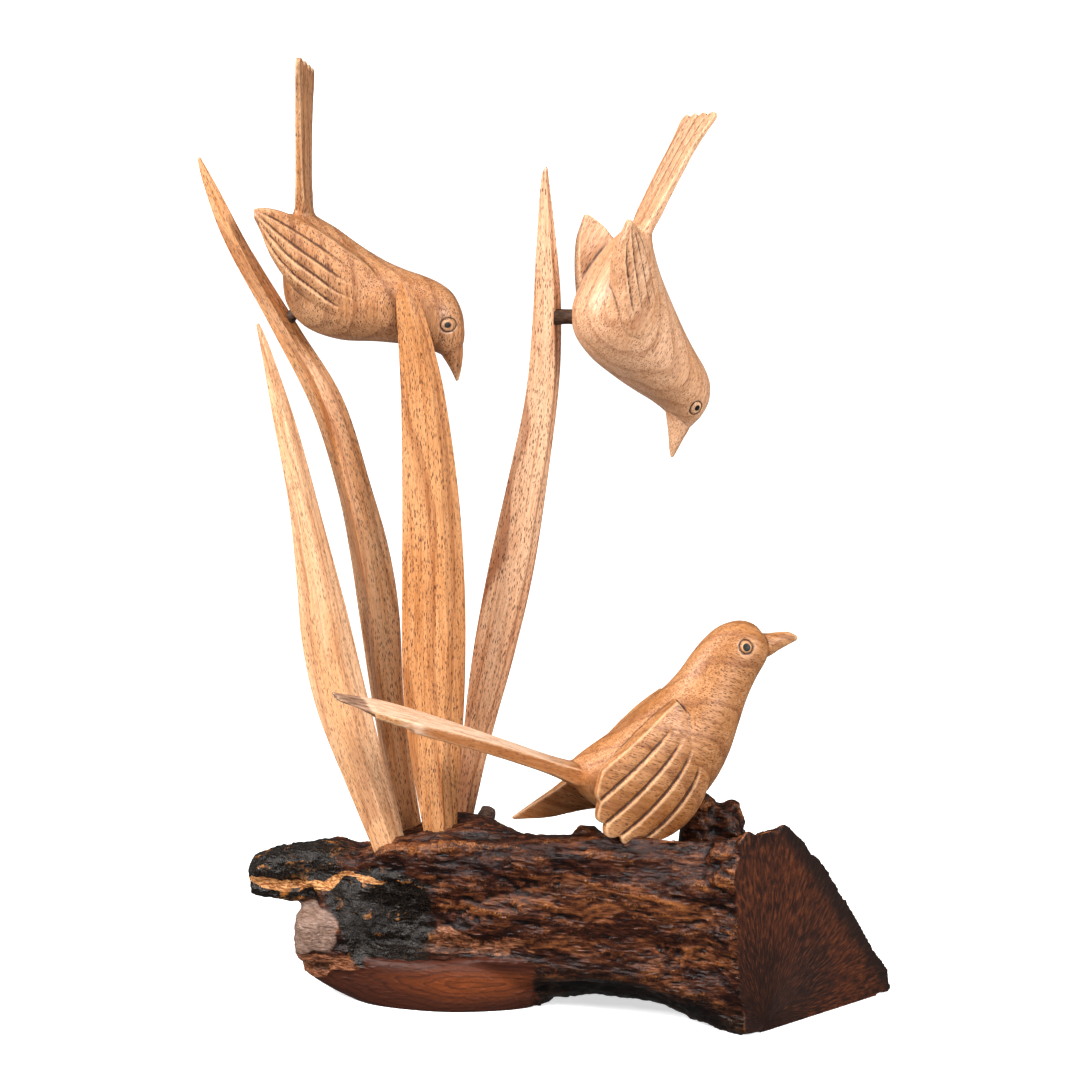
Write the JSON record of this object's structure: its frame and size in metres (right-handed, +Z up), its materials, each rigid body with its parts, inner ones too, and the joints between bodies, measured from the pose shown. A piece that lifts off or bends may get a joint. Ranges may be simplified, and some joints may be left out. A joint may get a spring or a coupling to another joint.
{
  "type": "wood bird carving",
  "caption": "Wood carving of small long-tailed birds perched among upright pointed leaf blades that rise from a natural dark root base.",
  "frame": {"origin": "the middle of the plan, on the surface that the root stands on", "axes": "+Z up; the front of the carving faces -Y; +X to the right of someone who looks at the front, towards the sawn end of the root"},
  "size_m": [0.2888, 0.1072, 0.3907],
  "materials": {
    "root_wood": "natural root wood, charred in places, under a clear gloss lacquer",
    "blade_wood": "honey-brown wood with straight grain and dark pores, satin",
    "bird_wood": "light tan carved wood with short dark pores, satin",
    "peg_wood": "dark unfinished peg"
  },
  "bodies": {
    "root": {"root_base": "root_wood", "blade_1": "blade_wood", "blade_2": "blade_wood", "blade_3": "blade_wood", "blade_4": "blade_wood", "bird_1": "bird_wood", "bird_2": "bird_wood", "bird_3": "bird_wood", "peg_1": "peg_wood", "peg_2": "peg_wood"}
  },
  "joints": []
}
